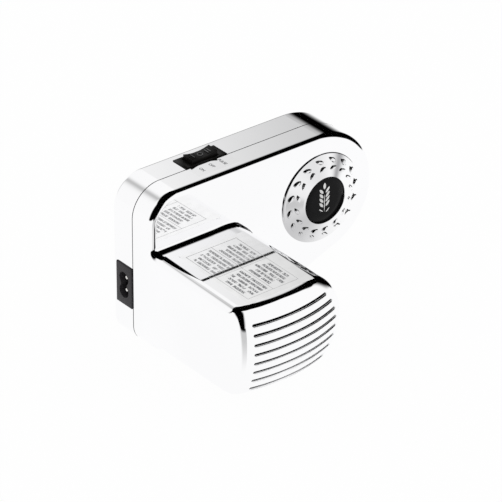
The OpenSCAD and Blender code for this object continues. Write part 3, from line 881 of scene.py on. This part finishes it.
def build_rocker(black):
    """A bar with a round belly, so that it clears its frame as it tilts, and a hollow top."""
    rocker = box_piece("rocker", *ROCKER, PIVOT_Z - ROCKER_H, PIVOT_Z + ROCKER_H)
    drum = rod_piece("drum_tool", SWITCH_X, PIVOT_Z, DRUM_R, 0, -25, 160)
    combine(drum, box_piece("lift_tool", 40, 72, 0, -25, PIVOT_Z, PIVOT_Z + 9), "UNION")
    combine(rocker, drum, "INTERSECT")
    cut(rocker, rod_piece("hollow_tool", SWITCH_X, PIVOT_Z + HOLLOW_LIFT, HOLLOW_R, 0, -25, 256))
    ease(rocker, 0.45, 4, 25)
    finish_piece(rocker, black, "rocker", "rocker", "rocker")
    dress("rocker_marks", moulded("grey print", (0.07, 0.07, 0.07), 0.5, 1500, 0.000002))


switch_black = moulded("black moulding", (0.005, 0.0046, 0.0042), 0.3, 1400, 0.000008, 0.1)
build_switch_frame(switch_black)
build_rocker(switch_black)

# ---------------------------------------------------------------- clear films

INK = (0.055, 0.058, 0.07)
WORDS = (("ON", 46.9, -22.9), ("OFF", 54.6, -22.2), ("PULSE", 62.4, -21.2))
COLUMNS, CROSSINGS = (15.1, 33.9, 52.5), (51.8, 80.3, 109.4)  # the label's ruled lines
ROW_START, ROW_PITCH, COLUMN_STEP, ROWS = 15.9, 3.33, 18.65, 5
TURNED = 0.009  # how far the label leans towards the right, per mm
LINE = 0.17  # half a ruled line's width


def build_legend():
    film = box_piece("switch_legend", 40.6, 71.9, -31.6, -20.2, HEIGHT - 0.1, HEIGHT + 0.06)
    clear = chrome("clear film over chrome", (0.95, 0.95, 0.955), 0.05)
    finish_piece(film, clear, "housing", "switch_legend", "switch_legend")
    words = []
    for word, x, y in WORDS:
        bpy.ops.object.text_add()
        text = bpy.context.object
        text.data.body, text.data.size = word, 0.0029
        text.data.extrude, text.data.offset = 0.00001, 0.00005
        text.rotation_euler = (0, 0, -math.pi / 2)
        text.location = at(x, y, HEIGHT + 0.075)
        bpy.ops.object.convert(target="MESH")
        words.append(settle(bpy.context.object))
    text = merge_into(*words)
    text.name = text.data.name = "switch_words"
    grey = moulded("grey ink", (0.10, 0.10, 0.11), 0.5, 1500, 0.000001)
    finish_piece(text, grey, "housing", "switch_legend")


def text_film():
    """Chrome under clear film, with ruled lines and rows of strokes that spell nothing."""
    m = material("ruled rows on clear film")
    less = lambda a, b: m.maths("LESS_THAN", a, b)
    more = lambda a, b: m.maths("GREATER_THAN", a, b)
    near = lambda a, mid, half: less(m.maths("ABSOLUTE", a - mid), half)
    x, y, _ = m.split(m.place())
    x, y = x * 1000 + AXIS_X, y * -1000
    x = x - (y - 50) * TURNED
    right, front = more(x, 34.1), more(y, 80)
    across = (x - ROW_START - right * COLUMN_STEP) / ROW_PITCH
    row = m.maths("FLOOR", across)
    inside = more(across, 0) * less(across, ROWS)
    tall = near(across - row, 0.5, 0.31)
    seed = m.node("ShaderNodeCombineXYZ", None, row, right * 7, front * 5)
    chance = m.node("ShaderNodeTexWhiteNoise", {"noise_dimensions": "3D"}, Vector=seed)
    start = 53.5 + chance * 5 + front * 28.5
    end = 76.6 - chance * 0.5 + front * (31.5 - chance * 5)
    strip = m.node("ShaderNodeCombineXYZ", None, x * 0.7, y * 1.9, row * 3.7 + right * 11)
    letters = m.noise(1.0, 1.0, 0.6, strip)
    beat = m.node("ShaderNodeCombineXYZ", None, row * 5.3, y * 0.33, right * 9)
    words = m.noise(1.0, 0.0, 0.5, beat)
    ink = inside * tall * more(y, start) * less(y, end) * more(letters, 0.44) * more(words, 0.33)
    line_x = sum(near(x, column, LINE) for column in COLUMNS)
    line_y = sum(near(y, crossing, LINE) for crossing in CROSSINGS)
    frame_x = line_x * more(y, CROSSINGS[0] - 0.2) * less(y, CROSSINGS[-1] + 0.2)
    frame_y = line_y * more(x, COLUMNS[0] - 0.2) * less(x, COLUMNS[-1] + 0.2)
    lines = less(0.5, frame_x + frame_y)
    marks = m.maths("MAXIMUM", ink * (0.62 + front * 0.2), lines * 0.5)
    drift = m.ramp(m.noise(160, 2, 0.5), 0.3, 0.7, 0.93, 0.98)
    clear = m.node("ShaderNodeCombineColor", None, drift, drift, drift)
    tone = m.colour(marks, clear, rgb(INK))
    m.surface(Base_Color=tone, Metallic=1 - marks * 0.9, Roughness=marks * 0.4 + 0.04)
    return m.holder


def build_label():
    """A film lying on the sloping top of the motor box."""
    x0, x1, back, front, thick = 12.3, 61.0, -48.5, -114.3, 0.16
    bpy.ops.object.select_all(action="DESELECT")
    bpy.ops.mesh.primitive_cube_add(size=1)
    film = bpy.context.object
    film.scale = ((x1 - x0) / 1000, (back - front) / 1000, thick / 1000)
    film.rotation_euler = (math.atan(DRAFT), 0, 0)
    y = (back + front) / 2
    film.location = at((x0 + x1) / 2, y, box_top(y))
    finish_piece(settle(film, "rating_label"), text_film(), "housing", "rating_label", "rating_label")


build_legend()
build_label()

# ---------------------------------------------------------------- mains inlet

INLET_Y, INLET_Z, PIN_STEP = -11.65, 38.7, 4.3
PIN_R, PIN_TIP, LOBE_R = 1.2, 0.9, 4.4


def cross_rod(name, side, r, x0, x1, sides=48):
    """A rod along X on the inlet's upper or lower pin."""
    bpy.ops.object.select_all(action="DESELECT")
    bpy.ops.mesh.primitive_cylinder_add(vertices=sides, radius=r / 1000, depth=abs(x1 - x0) / 1000)
    obj = bpy.context.object
    obj.rotation_euler = (0, math.pi / 2, 0)
    obj.location = at((x0 + x1) / 2, INLET_Y, INLET_Z + side * PIN_STEP)
    return settle(obj, name)


def build_inlet():
    body = box_piece("inlet_body", -0.9, 14.1, -19.15, -4.1, 25.0, 52.4)
    ease(body, 0.4)
    recess = cross_rod("lobe_tool", 1, LOBE_R, -3, 10.5)
    combine(recess, cross_rod("lobe_tool", -1, LOBE_R, -3, 10.5), "UNION")
    waist = box_piece("lobe_tool", -3, 10.5, INLET_Y - 2.9, INLET_Y + 2.9, INLET_Z - 3.4, INLET_Z + 3.4)
    combine(recess, waist, "UNION")
    cut(body, recess)
    soften(body, 30)
    dark = moulded("satin black moulding", (0.030, 0.028, 0.031), 0.5, 1300, 0.00002, 0.25)
    finish_piece(body, dark, "housing", "inlet_body", "inlet_body")
    tip = at(PIN_TIP + 0.1, 0, 0).x
    pins = []
    for side in (-1, 1):
        pin = cross_rod("pin", side, PIN_R, PIN_TIP, 12, 32)
        pins.append(bevel_edges(pin, lambda mid, run: mid.x < tip, 0.45, 4))
    pins = soften(merge_into(*pins), 40)
    pins.name = pins.data.name = "inlet_pins"
    nickel = steel("nickel plate", (0.86, 0.85, 0.82), 0.2, (900, 60, 60))
    finish_piece(pins, nickel, "housing", "inlet_pins", "inlet_pins")


build_inlet()

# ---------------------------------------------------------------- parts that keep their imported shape

ground = steel("ground steel", (0.62, 0.63, 0.65), 0.28, (60, 1800, 60))
sheet = steel("zinc plated sheet", (0.60, 0.61, 0.64), 0.38, (1200, 40, 40))
bronze = steel("sintered bronze", (0.62, 0.42, 0.20), 0.5, (400, 400, 400))
brass = steel("cut brass", (0.72, 0.55, 0.24), 0.3, (60, 1500, 60))
copper = steel("turned copper", (0.70, 0.36, 0.22), 0.3, (60, 1500, 60))
nylon = moulded("black nylon", (0.014, 0.014, 0.016), 0.5)
acetal = moulded("white acetal", (0.74, 0.73, 0.69), 0.42)
wear = {
    "screw_posts": nylon,
    "slot_screen": moulded("dark screen", (0.004, 0.004, 0.004), 0.8),
    "gear_plate": sheet,
    "motor_can": sheet,
    "motor_cap": nylon,
    "motor_magnets": moulded("ground ferrite", (0.03, 0.03, 0.033), 0.6),
    "armature": sheet,
    "commutator": copper,
    "rotor_shaft": ground,
    "motor_pinion": brass,
    "cooling_fan": nylon,
    "motor_bushes": bronze,
    "first_gear": acetal,
    "second_gear": acetal,
    "gear_axles": ground,
    "output_gear": acetal,
    "output_shaft": ground,
    "output_bushes": bronze,
    "locating_collar": nylon,
    "case_screws": sheet,
    "motor_screws": sheet,
    "suppressor_board": moulded("green board", (0.02, 0.10, 0.04), 0.35),
    "suppressor_parts": moulded("ochre moulding", (0.48, 0.30, 0.05), 0.4),
    "inner_wires": moulded("red insulation", (0.35, 0.02, 0.015), 0.5),
}
for node, holder in wear.items():
    dress(node, holder)


# ---------------------------------------------------------------- floor and light


def mirrored_studio(m):
    """Brightness that mirrors find in each direction, by its turn round the room and its rise, in degrees.

    The unit's front faces a turn of -90 and its rounded end 0.
    """
    x, y, z = m.split(m.node("ShaderNodeTexCoord", out="Generated"))
    turn, rise = m.maths("ARCTAN2", y, x) * DEGREES, m.maths("ARCSINE", z) * DEGREES

    # a white wall behind on the left, with a grey seam in it and a two-step right edge that leans
    streak = 1 - 0.45 * m.bell((turn - 108) / 9)
    edge = turn + 0.5 * (rise - 28)
    wall = m.ramp(edge, 39, 47.5, 0, 0.52) + m.ramp(edge, 48, 55.5, 0, 0.47)
    wall = wall * m.ramp(turn, 172, 150) * m.ramp(rise, 54, 48) * streak

    # a white screen in front on the right
    upper = m.ramp(rise - 0.4 * (turn + 50), 38.5, 33.5)
    screen = m.ramp(turn, -86.8, -85.2) * m.ramp(turn + 0.35 * (rise - 30), -44, -51) * upper

    # the white table, whose far edge is sharp in front, low on the right and soft at the back right,
    # and which is darker towards the camera
    stand = m.ramp(turn, -84.5, -87) * m.ramp(turn, -134, -118)
    soft = m.ramp(turn, 14, 38) * m.ramp(turn, 76, 56)
    drop = m.ramp(turn, -36, -18, 0, 12) * m.ramp(turn, 60, 16) * (1 - soft)
    table = m.ramp(rise + drop + 8 * stand, 1 + 3 * soft, -2.5 - 15.5 * soft)
    table = table * (1 - 0.4 * stand * m.ramp(rise, -50, -12))

    rear_gap = 1 - 0.85 * m.bell((turn - 57) / 4.5, (rise - 2) / 9)
    return (table + (1 - table) * (wall + screen)) * rear_gap


def add_world():
    """Plain white, and the studio's bright and dark parts for glossy rays alone."""
    world = bpy.data.worlds.new("studio")
    bpy.context.scene.world = world
    m = Finish(world)
    level = mirrored_studio(m)
    ray = m.node("ShaderNodeLightPath").socket.node.outputs
    seen, glossy = (Value(m, ray[name]) for name in ("Is Camera Ray", "Is Glossy Ray"))
    plain = m.node("ShaderNodeBackground", None, Color=rgb(1.0), Strength=1.0)
    grey = m.node("ShaderNodeCombineColor", None, level, level, level)
    mirrored = m.node("ShaderNodeBackground", None, Color=grey, Strength=1.0)
    m.output(m.node("ShaderNodeMixShader", None, glossy * (1 - seen), plain, mirrored))


def add_floor():
    bpy.ops.object.select_all(action="DESELECT")
    bpy.ops.mesh.primitive_plane_add(size=8)
    floor = bpy.context.object
    floor.location = (0, 0, at(0, 0, -0.05).z)
    settle(floor, "floor")
    m = material("floor white")
    ray = m.node("ShaderNodeLightPath")
    seen = Value(m, ray.socket.node.outputs["Is Camera Ray"])
    card = m.node("ShaderNodeBsdfDiffuse", None, Color=rgb(0.8))
    glow = m.node("ShaderNodeEmission", None, Color=rgb(1.0), Strength=1.0)
    m.output(m.node("ShaderNodeMixShader", None, seen * 0.97, card, glow))
    floor.data.materials.append(m.holder)
    floor.visible_glossy = False


add_world()
add_floor()
